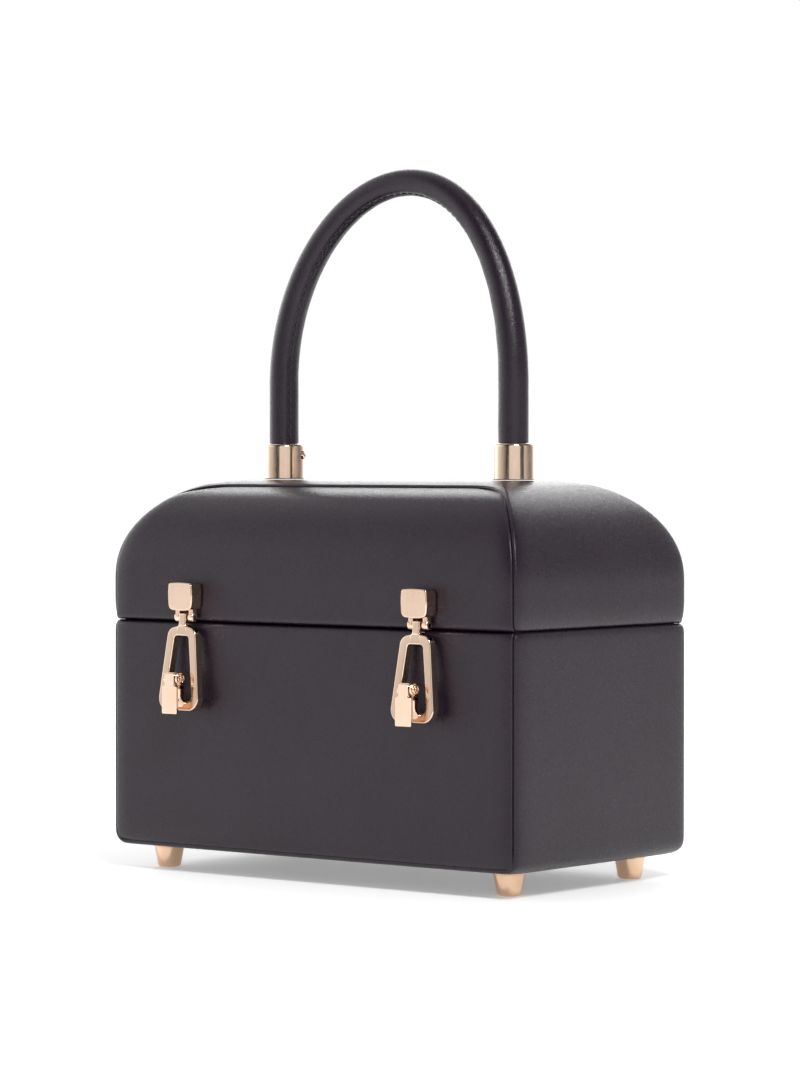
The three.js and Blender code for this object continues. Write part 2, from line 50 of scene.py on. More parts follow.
# the case: outer sizes are read from the solids, and the rest are those of the solids
rimClose = 0.23  # the rims of base and lid come this much closer than the solids
case = {
    "halfWidth": baseHigh.x,
    "halfDepth": (baseHigh.y - baseLow.y) / 2,
    "middleY": (baseHigh.y + baseLow.y) / 2,
    "baseLow": baseLow.z,
    "baseTop": baseHigh.z + rimClose,
    "lidLow": lidLow.z - rimClose,
    "lidTop": lidHigh.z,
    "domeRadius": 37,
    "panelReach": 25.5,  # how far a lid panel runs in over the top
    "panelCorner": 32,
    "baseCorner": 6,  # the strip's turn from side to bottom
    "frameEdge": 2.3,  # the strip's edge seen beside each panel
    "frameLow": 1.4,  # and below it
}
case["springZ"] = case["lidTop"] - case["domeRadius"]
case["cornerReach"] = case["panelCorner"] * math.tan(math.pi / 8)  # of the turn at a lid panel's upper corner
case["cornerDepth"] = case["cornerReach"] * math.sqrt(0.5)


# materials

def newMaterial(name):
    material = bpy.data.materials.new(name)
    material.use_nodes = True
    tree = material.node_tree
    place = tree.nodes.new("ShaderNodeTexCoord").outputs["Object"]
    return material, tree, tree.nodes["Principled BSDF"], place


def addNode(tree, kind, **settings):
    node = tree.nodes.new(kind)
    for key, value in settings.items():
        if hasattr(node, key):
            setattr(node, key, value)
        else:
            node.inputs[key].default_value = value
    return node


def addTexture(tree, kind, place, scale, **settings):
    node = addNode(tree, f"ShaderNodeTex{kind}", Scale=scale, **settings)
    tree.links.new(place, node.inputs["Vector"])
    return node


def ramp(tree, source, stops):
    node = tree.nodes.new("ShaderNodeValToRGB")
    elements = node.color_ramp.elements
    while len(elements) < len(stops):
        elements.new(0.5)
    for element, (place, color) in zip(elements, stops):
        element.position = place
        element.color = (*color, 1)
    tree.links.new(source, node.inputs["Fac"])
    return node.outputs["Color"]


def grey(value):
    return (value, value, value)


def addBump(tree, height, strength, depth, normal=None):
    bump = addNode(tree, "ShaderNodeBump", Strength=strength, Distance=depth)
    tree.links.new(height, bump.inputs["Height"])
    if normal is not None:
        tree.links.new(normal, bump.inputs["Normal"])
    return bump.outputs["Normal"]


def multiplied(tree, first, second, factor):
    node = addNode(tree, "ShaderNodeMix", data_type="RGBA", blend_type="MULTIPLY")
    node.inputs["Factor"].default_value = factor
    tree.links.new(first, node.inputs["A"])
    tree.links.new(second, node.inputs["B"])
    return node.outputs["Result"]


def mapRange(tree, source, start, end, low=0, high=1):
    node = tree.nodes.new("ShaderNodeMapRange")
    for key, value in (("From Min", start), ("From Max", end), ("To Min", low), ("To Max", high)):
        node.inputs[key].default_value = value
    tree.links.new(source, node.inputs["Value"])
    return node.outputs["Result"]


leatherLook = {
    "dark": (0.0140, 0.0062, 0.0150),
    "light": (0.0192, 0.0094, 0.0206),
    "patches": 38,
    "shade": 0.35,  # painted shade: darker between the pebbles, in the grain's creases
    "grain": 1700,
    "crown": [(0.0, 0.0), (0.15, 0.4), (0.32, 0.82), (0.5, 1.0)],  # (from a pebble's edge, height)
    "drift": 560,
    "push": 0.0004,  # metres that the grain is pushed about
    "crease": 800,
    "grainBump": (0.5, 0.00008),  # strength and depth
    "creaseBump": (0.3, 0.00006),
    "gloss": (0.25, 0.36),
    "specular": 0.4,
}


def makeLeather(name, look):
    material, tree, shader, place = newMaterial(name)
    link = tree.links.new
    # pebbled grain, pushed about a little so that it isn't a regular net
    drift = addTexture(tree, "Noise", place, look["drift"], Detail=2.0)
    pushed = addNode(tree, "ShaderNodeVectorMath", operation="MULTIPLY_ADD")
    pushed.inputs[1].default_value = grey(look["push"])
    link(drift.outputs["Color"], pushed.inputs[0])
    link(place, pushed.inputs[2])
    pebble = addTexture(tree, "Voronoi", pushed.outputs["Vector"], look["grain"], feature="DISTANCE_TO_EDGE")
    crown = ramp(tree, pebble.outputs["Distance"], [(away, grey(height)) for away, height in look["crown"]])
    crease = addTexture(tree, "Noise", place, look["crease"], Detail=5.0, Roughness=0.6)
    slow = addTexture(tree, "Noise", place, look["patches"], Detail=3.0)
    # colour: painted shade makes it darker between the pebbles and lighter on the crowns; slow patches over all
    tone = ramp(tree, slow.outputs["Fac"], [(0.3, look["dark"]), (0.72, look["light"])])
    link(multiplied(tree, tone, crown, look["shade"]), shader.inputs["Base Color"])
    low, high = look["gloss"]
    gloss = ramp(tree, crease.outputs["Fac"], [(0.3, grey(low)), (0.7, grey(high))])
    link(gloss, shader.inputs["Roughness"])
    grain = addBump(tree, crown, *look["grainBump"])
    creased = addBump(tree, crease.outputs["Fac"], *look["creaseBump"], normal=grain)
    link(creased, shader.inputs["Normal"])
    shader.inputs["Specular IOR Level"].default_value = look["specular"]
    return material


waveScale = 6.3  # from a count of threads to a wave texture's scale
liningLook = {
    "dark": (0.010, 0.009, 0.010),
    "light": (0.024, 0.021, 0.022),
    "thread": 1500,
    "uneven": 0.6,
    "fuzz": 700,
    "bump": (0.4, 0.0001),
    "roughness": 0.85,
}


def makeLining(look):
    material, tree, shader, place = newMaterial("lining")
    link = tree.links.new
    # a plain close weave: two sets of threads at right angles
    woven = addNode(tree, "ShaderNodeMath", operation="MULTIPLY")
    for number, direction in enumerate(("X", "Z")):
        threads = addTexture(tree, "Wave", place, look["thread"] / waveScale, bands_direction=direction)
        threads.inputs["Distortion"].default_value = look["uneven"]
        link(threads.outputs["Fac"], woven.inputs[number])
    fuzz = addTexture(tree, "Noise", place, look["fuzz"], Detail=3.0)
    tone = ramp(tree, fuzz.outputs["Fac"], [(0.3, look["dark"]), (0.75, look["light"])])
    link(tone, shader.inputs["Base Color"])
    link(addBump(tree, woven.outputs["Value"], *look["bump"]), shader.inputs["Normal"])
    shader.inputs["Roughness"].default_value = look["roughness"]
    return material


roseGoldLook = {
    "deep": (0.80, 0.59, 0.449),
    "bright": (0.86, 0.65, 0.507),
    "cloud": 90,
    "gloss": (0.07, 0.16),
    "wipe": (900, 900, 120),
    "bump": (0.12, 0.00002),
}
footGoldLook = {
    "deep": (0.76, 0.50, 0.33),
    "bright": (0.86, 0.60, 0.42),
    "cloud": 90,
    "gloss": (0.09, 0.17),
    "wipe": (160, 160, 900),
    "bump": (0.2, 0.00002),
}


def makeMetal(name, look):
    material, tree, shader, place = newMaterial(name)
    link = tree.links.new
    cloud = addTexture(tree, "Noise", place, look["cloud"], Detail=2.0)
    tone = ramp(tree, cloud.outputs["Fac"], [(0.3, look["deep"]), (0.7, look["bright"])])
    link(tone, shader.inputs["Base Color"])
    # fine wipe marks, drawn out along one direction
    stretch = addNode(tree, "ShaderNodeMapping")
    stretch.inputs["Scale"].default_value = look["wipe"]
    link(place, stretch.inputs["Vector"])
    marks = addTexture(tree, "Noise", stretch.outputs["Vector"], 1.0, Detail=4.0, Roughness=0.65)
    low, high = look["gloss"]
    gloss = ramp(tree, marks.outputs["Fac"], [(0.3, grey(low)), (0.75, grey(high))])
    link(gloss, shader.inputs["Roughness"])
    link(addBump(tree, marks.outputs["Fac"], *look["bump"]), shader.inputs["Normal"])
    shader.inputs["Metallic"].default_value = 1.0
    return material


threadLook = {
    "dark": (0.008, 0.008, 0.009),
    "light": (0.02, 0.02, 0.022),
    "twist": 2600,
    "bump": (0.6, 0.0001),
    "roughness": 0.55,
}


def makeThread(look):
    material, tree, shader, place = newMaterial("thread")
    link = tree.links.new
    twist = addTexture(tree, "Wave", place, look["twist"] / waveScale, bands_direction="DIAGONAL")
    # painted shade: the colour is darker in the twist's grooves, where the bump is low
    tone = ramp(tree, twist.outputs["Fac"], [(0.2, look["dark"]), (0.9, look["light"])])
    link(tone, shader.inputs["Base Color"])
    link(addBump(tree, twist.outputs["Fac"], *look["bump"]), shader.inputs["Normal"])
    shader.inputs["Roughness"].default_value = look["roughness"]
    return material


leather = makeLeather("leather_black", leatherLook)
lining = makeLining(liningLook)
roseGold = makeMetal("rose_gold", roseGoldLook)
footGold = makeMetal("foot_gold", footGoldLook)
thread = makeThread(threadLook)
print("materials made")


# mesh tools

def addObject(name, data):
    made = bpy.data.objects.new(name, data)
    bpy.context.scene.collection.objects.link(made)
    return made


def finishPiece(name, mesh, body, materials, replaced=(), sharp=40):
    for material in materials:
        mesh.materials.append(material)
    mesh.shade_smooth()
    piece = addObject(name, mesh)
    if sharp:
        mesh.set_sharp_from_angle(angle=math.radians(sharp))
        flat = piece.modifiers.new("flat_faces", "WEIGHTED_NORMAL")  # flat faces stay flat beside round edges
        flat.keep_sharp = True
    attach(piece, body)
    if replaced:
        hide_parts(*replaced)
    return piece


def toMesh(name, points, faces, inner=()):
    made = bmesh.new()
    corners = [made.verts.new(Vector(p) * mm) for p in points]
    for number, face in enumerate(faces):
        made.faces.new([corners[i] for i in face]).material_index = 1 if number in inner else 0
    bmesh.ops.delete(made, geom=[v for v in made.verts if not v.link_faces], context="VERTS")
    bmesh.ops.remove_doubles(made, verts=made.verts, dist=1e-7)
    bmesh.ops.recalc_face_normals(made, faces=made.faces)
    mesh = bpy.data.meshes.new(name)
    made.to_mesh(mesh)
    made.free()
    return mesh


def shellMesh(name, outer, inner, faces, roll=(), rimZ=0, heart=(0, 0, 0)):
    # a wall with its thickness: an outer skin, an inner one and a band along every open edge.
    # roll turns the open edges down into the seams, apart from those along the rim at rimZ
    first = {}
    same = [first.setdefault(tuple(round(v, 4) for v in p), k) for k, p in enumerate(outer)]
    skin, uses = [], {}
    for face in faces:
        ring = list(dict.fromkeys(same[i] for i in face))
        if len(ring) < 3:
            continue
        skin.append(tuple(ring))
        corners = [Vector(outer[i]) for i in ring]
        centre = sum(corners, Vector()) / len(ring)
        normal = (corners[1] - corners[0]).cross(corners[2] - corners[0]).normalized()
        if normal.dot(centre - Vector(heart)) < 0:
            normal.negate()
        for a, b in zip(ring, ring[1:] + ring[:1]):
            uses.setdefault(frozenset((a, b)), []).append((a, b, centre, normal))
    size, skinCount = len(outer), len(skin)
    points = outer + inner
    openEdges = [found[0] for found in uses.values() if len(found) == 1]
    rim = {v for edge in openEdges for v in edge[:2] if abs(outer[v][2] - rimZ) < 0.01}
    seam = [edge for edge in openEdges if not (edge[0] in rim and edge[1] in rim)] if roll else []
    outwards, upwards = {}, {}
    for a, b, centre, normal in seam:
        start, end = Vector(outer[a]), Vector(outer[b])
        out = (end - start).cross(normal).normalized()
        if out.dot((start + end) / 2 - centre) < 0:
            out.negate()
        for v in (a, b):
            outwards[v] = outwards.get(v, Vector()) + out
            upwards[v] = upwards.get(v, Vector()) + normal
    chain = {}
    for v, out in outwards.items():
        chain[v] = [v]
        for across, down in roll:
            chain[v].append(len(points))
            points.append(tuple(Vector(outer[v]) + out.normalized() * across - upwards[v].normalized() * down))
    for a, b, _, _ in seam:
        for k in range(len(roll)):
            skin.append((chain[a][k], chain[b][k], chain[b][k + 1], chain[a][k + 1]))
    rolled = {v for edge in seam for v in edge[:2]}
    skin += [(*chain[v], v + size) for v in rolled & rim]
    band = []
    for a, b, _, _ in openEdges:
        onRim = not seam or (a in rim and b in rim)
        band.append((a if onRim else chain[a][-1], b if onRim else chain[b][-1], b + size, a + size))
    lined = [tuple(i + size for i in ring) for ring in skin[:skinCount]]
    whole = skin + band + lined
    return toMesh(name, points, whole, set(range(len(skin) + len(band), len(whole))))


def gridFaces(rows, columns, start=0):
    faces = []
    for r in range(rows - 1):
        for c in range(columns - 1):
            at = start + r * columns + c
            faces.append((at, at + columns, at + columns + 1, at + 1))
    return faces


def bridge(loops):
    # closed loops with the same count of points, joined one to the next, with both ends closed
    count = len(loops[0])
    points = [tuple(p) for loop in loops for p in loop]
    last = len(points) - count
    faces = []
    for a in range(0, last, count):
        for c in range(count):
            d = (c + 1) % count
            faces.append((a + c, a + d, a + count + d, a + count + c))
    faces.append(tuple(range(count)))
    faces.append(tuple(range(last, last + count)))
    return points, faces


def joinSets(sets):
    points, faces = [], []
    for morePoints, moreFaces in sets:
        start = len(points)
        points += [tuple(p) for p in morePoints]
        faces += [tuple(i + start for i in face) for face in moreFaces]
    return points, faces


def quarterTurn(steps):
    return [math.pi / 2 * k / steps for k in range(steps + 1)]


def mirrored(right):
    # the corners of a right half, from the bottom up, with their mirror images
    left = [(-x, z, radius) for x, z, radius in right]
    return left[:1] + right + left[:0:-1]


def rounded(corners, steps=8, bow=0.0, bowSteps=6):
    # corners: (x, z, radius). A true arc at each corner, and a slight bow along the sides
    total = len(corners)

    def arms(k):
        here, back, ahead = (Vector(corners[(k + step) % total][:2]) for step in (0, -1, 1))
        half = (back - here).angle(ahead - here) / 2
        radius = corners[k % total][2]
        return here, (back - here).normalized(), (ahead - here).normalized(), half, radius

    out = []
    for k in range(total):
        here, back, ahead, half, radius = arms(k)
        reach = radius / math.tan(half)
        start, end = here + back * reach, here + ahead * reach
        middle = here + (back + ahead).normalized() * (radius / math.sin(half))
        for j in range(steps + 1):
            out.append(middle + (start.lerp(end, j / steps) - middle).normalized() * radius)
        if bow:
            nextHere, _, _, nextHalf, nextRadius = arms(k + 1)
            far = nextHere - ahead * (nextRadius / math.tan(nextHalf))
            push = Vector((ahead.y, -ahead.x)) * bow
            for j in range(1, bowSteps):
                share = j / bowSteps
                out.append(end.lerp(far, share) + push * (1 - (2 * share - 1) ** 2))
    return np.array([tuple(p) for p in out])


def unit(rows):
    return rows / np.linalg.norm(rows, axis=1)[:, None]


def inset(outline, distance):
    # an outline that runs anticlockwise, moved inwards along its corners' normals
    a = unit(outline - np.roll(outline, 1, axis=0))
    b = unit(np.roll(outline, -1, axis=0) - outline)
    normal = unit(np.stack([-(a + b)[:, 1], (a + b)[:, 0]], axis=1))
    lean = np.clip(np.sum(normal * np.stack([-a[:, 1], a[:, 0]], axis=1), axis=1), 0.4, 1)
    return outline + normal * (distance / lean)[:, None]


def plate(outline, front, back, bevel, hole=None, steps=4):
    # an outline in X and Z with depth along -Y, its front and back edges rounded
    turn = reversed(quarterTurn(steps))
    depths = [(bevel * (1 - math.sin(t)), bevel * (1 - math.cos(t))) for t in turn]
    layers = [(front - d, i) for d, i in depths] + [(back + d, i) for d, i in reversed(depths)]

    def wall(shape, sign):
        return [[(x, -out, z) for x, z in inset(shape, sign * move)] for out, move in layers]

    outerLoops = wall(outline, 1)
    if hole is None:
        return bridge(outerLoops)
    return plateWithHole(outerLoops, wall(hole, -1))


def plateWithHole(outerLoops, holeLoops):
    made = bmesh.new()
    ends = ([], [])
    for loops in (outerLoops, holeLoops):
        rings = [[made.verts.new(p) for p in loop] for loop in loops]
        count = len(rings[0])
        for r in range(len(rings) - 1):
            for c in range(count):
                d = (c + 1) % count
                made.faces.new((rings[r][c], rings[r][d], rings[r + 1][d], rings[r + 1][c]))
        for end, ring in zip(ends, (rings[0], rings[-1])):
            end.extend(made.edges.get((ring[c], ring[(c + 1) % count])) for c in range(count))
    for end in ends:
        bmesh.ops.triangle_fill(made, use_beauty=True, edges=end)
    made.verts.index_update()
    points = [tuple(v.co) for v in made.verts]
    faces = [tuple(v.index for v in f.verts) for f in made.faces]
    made.free()
    return points, faces


def turned(profile, sides):
    # (radius, height) rows about Z
    angles = [2 * math.pi * k / sides for k in range(sides)]
    return bridge([[(r * math.cos(a), r * math.sin(a), height) for a in angles] for r, height in profile])


def softEdges(low, high, radius, edge):
    # profile of a rod from low to high with rounded end edges
    turn = quarterTurn(4)
    bottom = [(radius - edge + edge * math.sin(t), low + edge * (1 - math.cos(t))) for t in turn]
    top = [(radius - edge + edge * math.cos(t), high - edge * (1 - math.sin(t))) for t in turn]
    return bottom + top


def placed(made, matrix):
    points, faces = made
    return [tuple(matrix @ Vector(p)) for p in points], faces


alongX = Matrix(((0, 0, 1, 0), (0, 1, 0, 0), (-1, 0, 0, 0), (0, 0, 0, 1)))


def rodX(x0, x1, radius, y, z, edge, sides=32):
    made = turned(softEdges(x0, x1, radius, edge), sides)
    return placed(made, Matrix.Translation((0, y, z)) @ alongX)


def addSubsurf(piece, levels=2):
    smooth = piece.modifiers.new("smooth", "SUBSURF")
    smooth.levels = levels
    smooth.render_levels = levels
    smooth.boundary_smooth = "PRESERVE_CORNERS"


def dressSolid(node, material, width, angle):
    # a node that keeps its solid, with a finish and rounded edges
    node.data.materials.clear()
    node.data.materials.append(material)
    edge = node.modifiers.new("edge", "BEVEL")
    edge.width = width * mm
    edge.segments = 3
    edge.limit_method = "ANGLE"
    edge.angle_limit = math.radians(angle)


# padded panels of base and lid

panel = {
    "wall": 2.6,
    "proud": 1.6,
    # (from the seam, height over the strip) of the soft borders: beside, swelling over the seam, and below
    "side": [(0.3, -1.1), (0, -0.55), (-0.2, 0), (-0.22, 0.36), (0.05, 0.68), (0.9, 0.98), (2.6, 1.28),
             (4.6, 1.49), (6.8, 1.58), (9.5, 1.6)],
    "low": [(0, -1.0), (0.3, -0.45), (0.8, 0.1), (1.6, 0.6), (3, 1.05), (5, 1.4), (7.5, 1.6), (10, 1.6)],
    "rim": 1.8,  # along the gap
    "rimSteps": [0, 0.3, 0.8, 1.8, 3.4],
    "rimLow": -1.5,
    "topBorder": 14,  # along the lid's top seams, where the padding rises slowly
    "topLevel": -0.55,
    "topRoll": 1.5,
    "topDrop": 1.0,
    "topSteps": [0, 0.3, 0.8, 1.5, 3, 5.5, 8.5, 11.5, 14, 18],
    "columns": 15,
    "cornerDrop": 0.5,  # where two borders meet
    # the board runs on behind the strip, out of sight, and is thinner there
    "tuck": {"side": 0.8, "base": 0.5, "top": 1.6, "thin": 0.9},
    "fill": 0.8,
}


def softShare(distance, border):
    share = min(max(distance / border, 0), 1)
    return math.sqrt(share * (2 - share))


def cornerLoss(distance, reach, depth):
    return reach * (1 - math.sqrt(max(distance, 0) / depth)) ** 2 if distance < depth else 0


def lowLift(distance):
    away, height = zip(*panel["low"])
    return float(np.interp(distance, away, height))


def topLift(distance):
    rise = min(max(distance / panel["topBorder"], 0), 1)
    lift = panel["topLevel"] + (panel["proud"] - panel["topLevel"]) * rise * rise * (3 - 2 * rise)
    return lift - panel["topDrop"] * (1 - softShare(distance, panel["topRoll"]))


def rimLift(distance):
    return panel["rimLow"] + (panel["proud"] - panel["rimLow"]) * softShare(distance, panel["rim"])


def both(first, second):
    # where two borders meet, their drops below the full height add up, down to the lower floor
    full = panel["proud"]
    return max(first + second - full, min(first, second) - panel["cornerDrop"])


def panelMesh(name, rows, flip):
    inward = panel["side"][-1][0]
    middle = np.linspace(-1, 1, panel["columns"])[1:-1]
    columns = [(-1, d, lift) for d, lift in panel["side"]] + [(0, f, panel["proud"]) for f in middle]
    columns += [(1, d, lift) for d, lift in reversed(panel["side"])]
    outer, inner = [], []
    for row in rows:
        for side, value, sideLift in columns:
            lift = both(row["lift"], sideLift)
            for (y, z, half), points, height in ((row["outer"], outer, lift), (row["inner"], inner, 0)):
                x = side * (half - value) if side else value * (half - inward)
                ny, nz = row["normal"]
                points.append((x, (y + ny * height) * flip + case["middleY"], z + nz * height))
    return shellMesh(name, outer, inner, gridFaces(len(rows), len(columns)))


def baseRows():
    low = case["baseLow"] + case["frameLow"]
    top = case["baseTop"]
    turn = case["baseCorner"] - case["frameEdge"]
    heights = [low + d for d, _ in panel["low"]]
    heights += list(np.linspace(heights[-1], top - panel["rimSteps"][-1], 8))[1:-1]
    heights += [top - d for d in reversed(panel["rimSteps"])]
    rows = []
    for z in heights:
        half = case["halfWidth"] - case["frameEdge"] - cornerLoss(z - low, turn, turn)
        rows.append({
            "outer": (case["halfDepth"], z, half),
            "inner": (case["halfDepth"] - panel["wall"], z, half + panel["tuck"]["base"]),
            "normal": (1, 0),
            "lift": min(lowLift(z - low), rimLift(top - z)),
        })
    return rows


def lidRows():
    radius, reach = case["domeRadius"], case["panelReach"]
    turn = math.acos(1 - reach / radius)

    def halfAt(inward):
        loss = cornerLoss(reach - inward, case["cornerReach"], case["cornerDepth"])
        return case["halfWidth"] - case["frameEdge"] - inward - loss

    stations = [(0.0, case["lidLow"] + d) for d in panel["rimSteps"]]
    wallLow = case["lidLow"] + panel["rimSteps"][-1]
    stations += [(0.0, z) for z in np.linspace(wallLow, case["springZ"], 5)[1:-1]]
    arcs = list(np.linspace(0, turn - panel["topSteps"][-1] / radius, 10))[:-1]
    arcs += [turn - d / radius for d in reversed(panel["topSteps"])]
    stations += [(a, case["springZ"] + radius * math.sin(a)) for a in arcs]
    rows = []
    for angle, z in stations:
        ny, nz = math.cos(angle), math.sin(angle)
        inward = min(radius * (1 - ny), reach)
        half = halfAt(inward)
        wall, deeper = panel["wall"], panel["wall"] * ny
        if angle == turn:
            wall, deeper = wall - panel["tuck"]["thin"], deeper + panel["tuck"]["top"]
        rows.append({
            "outer": (case["halfDepth"] - inward, z, half),
            "inner": (case["halfDepth"] - inward - deeper, z - wall * nz,
                      half + case["frameEdge"] + panel["tuck"]["side"] - deeper),
            "normal": (ny, nz),
            "lift": min(rimLift(z - case["lidLow"]), topLift(radius * (turn - angle))),
        })
    return rows


for body, rows in (("base", baseRows()), ("lid", lidRows())):
    for side, flip in (("front", -1), ("back", 1)):
        name = f"{body}_{side}_pad"
        mesh = panelMesh(name, rows, flip)
        replaced = [f"{body}_{side}_panel"]
        piece = finishPiece(name, mesh, body, [leather, lining], replaced, sharp=0)
        addSubsurf(piece)
print("padded panels made")


# the strips between the panels

strip = {
    "wall": 2.6,
    # (inwards from the face, from the edge) of the soft rounding along both edges
    "soft": [(1.3, 0), (0.9, 0.14), (0.64, 0.5), (0.44, 1.1), (0.28, 2.1), (0.15, 3.5), (0.06, 5.5), (0, 8.5)],
    "roll": [(0.40, 0.07), (0.75, 0.36), (0.92, 1.2)],  # (across, down) into the seam
    # (inwards, from the gap) of the rims
    "rimBase": [(2.0, 0), (1.15, 0.3), (0.6, 0.75), (0.25, 1.4), (0.07, 2.4), (0, 4.5)],
    "rimLid": [(2.2, 0), (1.36, 0.35), (0.88, 0.9), (0.54, 1.7), (0.3, 3), (0.12, 5), (0.03, 7), (0, 9.5)],
    "rimDrop": 0.35,  # the rim falls this much to the inside
    "plainBase": (14, 6),  # the plain wall starts this far below the gap and ends this far above the corner
    "plainLid": 11,
    "lanes": [36, 24, 12, 0],  # from the middle, and in the lid as shares
    "lidLanes": [0.75, 0.4, 0, -0.4, -0.75],
    "innerEdge": 2.2,  # how far the inner skin stays back from the seams of the base
    "innerShare": 0.3,  # and how much of the rounding it has in the lid
    "topRings": [6.6, 4.4, 2.6, 1.3, 0.5, 0],  # from the top's edge
    "heartBase": 60,  # heights inside, to tell the outer side by
    "heartLid": 110,
}


def stripSection():
    # (inwards from the outer face, along Y) from the front seam to the back one
    front = [(i, d - case["halfDepth"]) for i, d in strip["soft"]]
    lanes = [(0, -lane) for lane in strip["lanes"]]
    back = [(i, -y) for i, y in reversed(front + lanes) if y != 0]
    return front + lanes + back


def baseStripMesh():
    half, low, corner, top = case["halfWidth"], case["baseLow"], case["baseCorner"], case["baseTop"]
    below, above = strip["plainBase"]
    path = [(half, top - drop, 1, 0, curl, strip["rimDrop"]) for curl, drop in strip["rimBase"]]
    path += [(half, z, 1, 0, 0, 0) for z in np.linspace(top - below, low + corner + above, 6)]
    for t in quarterTurn(6):
        nx, nz = math.cos(t), -math.sin(t)
        path.append((half - corner + corner * nx, low + corner + corner * nz, nx, nz, 0, 0))
    path += [(x, low, 0, -1, 0, 0) for x in np.linspace(half - corner - above, 0, 6)]
    path += [(-x, z, -nx, nz, curl, drop) for x, z, nx, nz, curl, drop in reversed(path[:-1])]
    section = stripSection()
    innerShare = 1 - strip["innerEdge"] / case["halfDepth"]
    outer, inner = [], []
    for x, z, nx, nz, curl, drop in path:
        for i, y in section:
            across = y * (1 - curl / case["halfDepth"])
            outer.append((x - nx * (i + curl), across + case["middleY"], z - nz * (i + curl)))
            innerZ = z - nz * strip["wall"] - drop
            inner.append((x - nx * strip["wall"], y * innerShare + case["middleY"], innerZ))
    faces = gridFaces(len(path), len(section))
    heart = (0, case["middleY"], strip["heartBase"])
    return shellMesh("base_strip", outer, inner, faces, strip["roll"], top, heart)


def lidStripMesh():
    radius, wall, soft = case["domeRadius"], strip["wall"], strip["soft"]
    edge, wide = soft[0][0], soft[-1][1]
    reach = case["panelReach"] + case["frameEdge"] - edge
    legs = 3  # how many steps of the rounding lie along X where the lid is flat

    def ringAt(inward, z, along, share):
        # half of a ring round the right end, from the front seam to the back one
        x, y = case["halfWidth"] - inward, case["halfDepth"] - inward
        legX = edge * share + cornerLoss(reach - along, case["cornerReach"], case["cornerDepth"])
        corner = []
        for k, (i, d) in enumerate(soft):
            if k <= legs:
                square = Vector((x - legX + legX * k / legs, y))
            else:
                square = Vector((x, y - wide * (k - legs) / (len(soft) - 1 - legs)))
            corner.append(square.lerp(Vector((x - legX * i / edge, y - d)), 1 - (along / reach) ** 2))
        ring = [(cx, -cy, z) for cx, cy in corner]
        ring += [(x, -lane * (y - wide), z) for lane in strip["lidLanes"]]
        ring += [(cx, cy, z) for cx, cy in reversed(corner)]
        return ring

    def domeZ(inward, thick):
        across = max(radius - inward, 0)
        return case["springZ"] + math.sqrt((radius - thick) ** 2 - across ** 2)

    # (inwards, height) of the outer and of the inner skin, and how far in over the dome
    low = case["lidLow"]
    stations = [(curl, low + rise, wall, low + rise + strip["rimDrop"], 0) for curl, rise in strip["rimLid"]]
    stations += [(0, z, wall, z, 0) for z in np.linspace(low + strip["plainLid"], case["springZ"], 3)]
    lastArc = math.acos(1 - (reach - case["cornerDepth"]) / radius)
    insets = [radius * (1 - math.cos(lastArc * k / 9)) for k in range(1, 10)]
    insets += [reach - d for d in strip["topRings"]]
    for i in insets:
        cosine = 1 - i / radius
        stations.append((i, domeZ(i, 0), i + wall * cosine, domeZ(i + wall * cosine, wall), i))
    skins = [[ringAt(i, z, along, 1) for i, z, _, _, along in stations],
             [ringAt(i, z, along, strip["innerShare"]) for _, _, i, z, along in stations]]
    outer, inner = [], []
    for rows, skin, thick in zip(skins, (outer, inner), (0, wall)):
        for side in (1, -1):
            skin += [(side * x, y + case["middleY"], z) for row in rows for x, y, z in row]
        # the top, inside the last ring
        lastRow = rows[-1]
        acrossY = [p[1] for p in lastRow[legs:len(lastRow) - legs]]
        fromX = [p[0] for p in lastRow[:legs + 1]]
        acrossX = fromX[::-1] + list(np.linspace(fromX[0], -fromX[0], 13))[1:-1] + [-x for x in fromX]
        for x in acrossX:
            for y in acrossY:
                inward = min(case["halfWidth"] - abs(x), case["halfDepth"] - abs(y))
                skin.append((x, y + case["middleY"], domeZ(inward, thick)))
    count = len(stations) * len(skins[0][0])
    faces = []
    for start in (0, count):
        faces += gridFaces(len(stations), len(skins[0][0]), start)
    faces += gridFaces(len(acrossX), len(acrossY), 2 * count)
    heart = (0, case["middleY"], strip["heartLid"])
    return shellMesh("lid_strip", outer, inner, faces, strip["roll"], low, heart)


for body, mesh in (("base", baseStripMesh()), ("lid", lidStripMesh())):
    replaced = [f"{body}_gusset"]
    piece = finishPiece(f"{body}_strip", mesh, body, [leather, lining], replaced, sharp=0)
    addSubsurf(piece)

# the lip inside the base keeps its solid, with softened edges
dressSolid(nodes["base_lip"], lining, 0.4, 30)
print("strips and lip made")


# the rolled handle with its seam

grip = {
    "legX": 57.3,
    "lowZ": 155.8,
    "legTop": 191.5,
    "apex": 269.5,
    "lean": 7,
    "legDiameter": 11.6,
    "apexDiameter": 10.4,
    "sides": 48,
    "legRings": 14,
    "archRings": 120,
    "seamTurn": 24,  # degrees from straight inwards, towards the front
    "seamDepth": 0.42,
    "seamWidth": 8,  # degrees
    "seamSwell": 0.10,  # the leather swells this much beside the seam
    "swellAt": 2.6,  # in seam widths from the seam
    "pucker": 0.05,
    "puckerReach": 0.9,
    "stitch": 2.7,
    "stitchThick": 0.55,
    "stitchGap": 0.75,
    "stitchFrom": 13,  # clear of the ferrules
    "stitchProud": 0.22,
    "stitchBend": 0.5,
    "stitchSlant": 0.25,
    "stitchSides": 8,
}


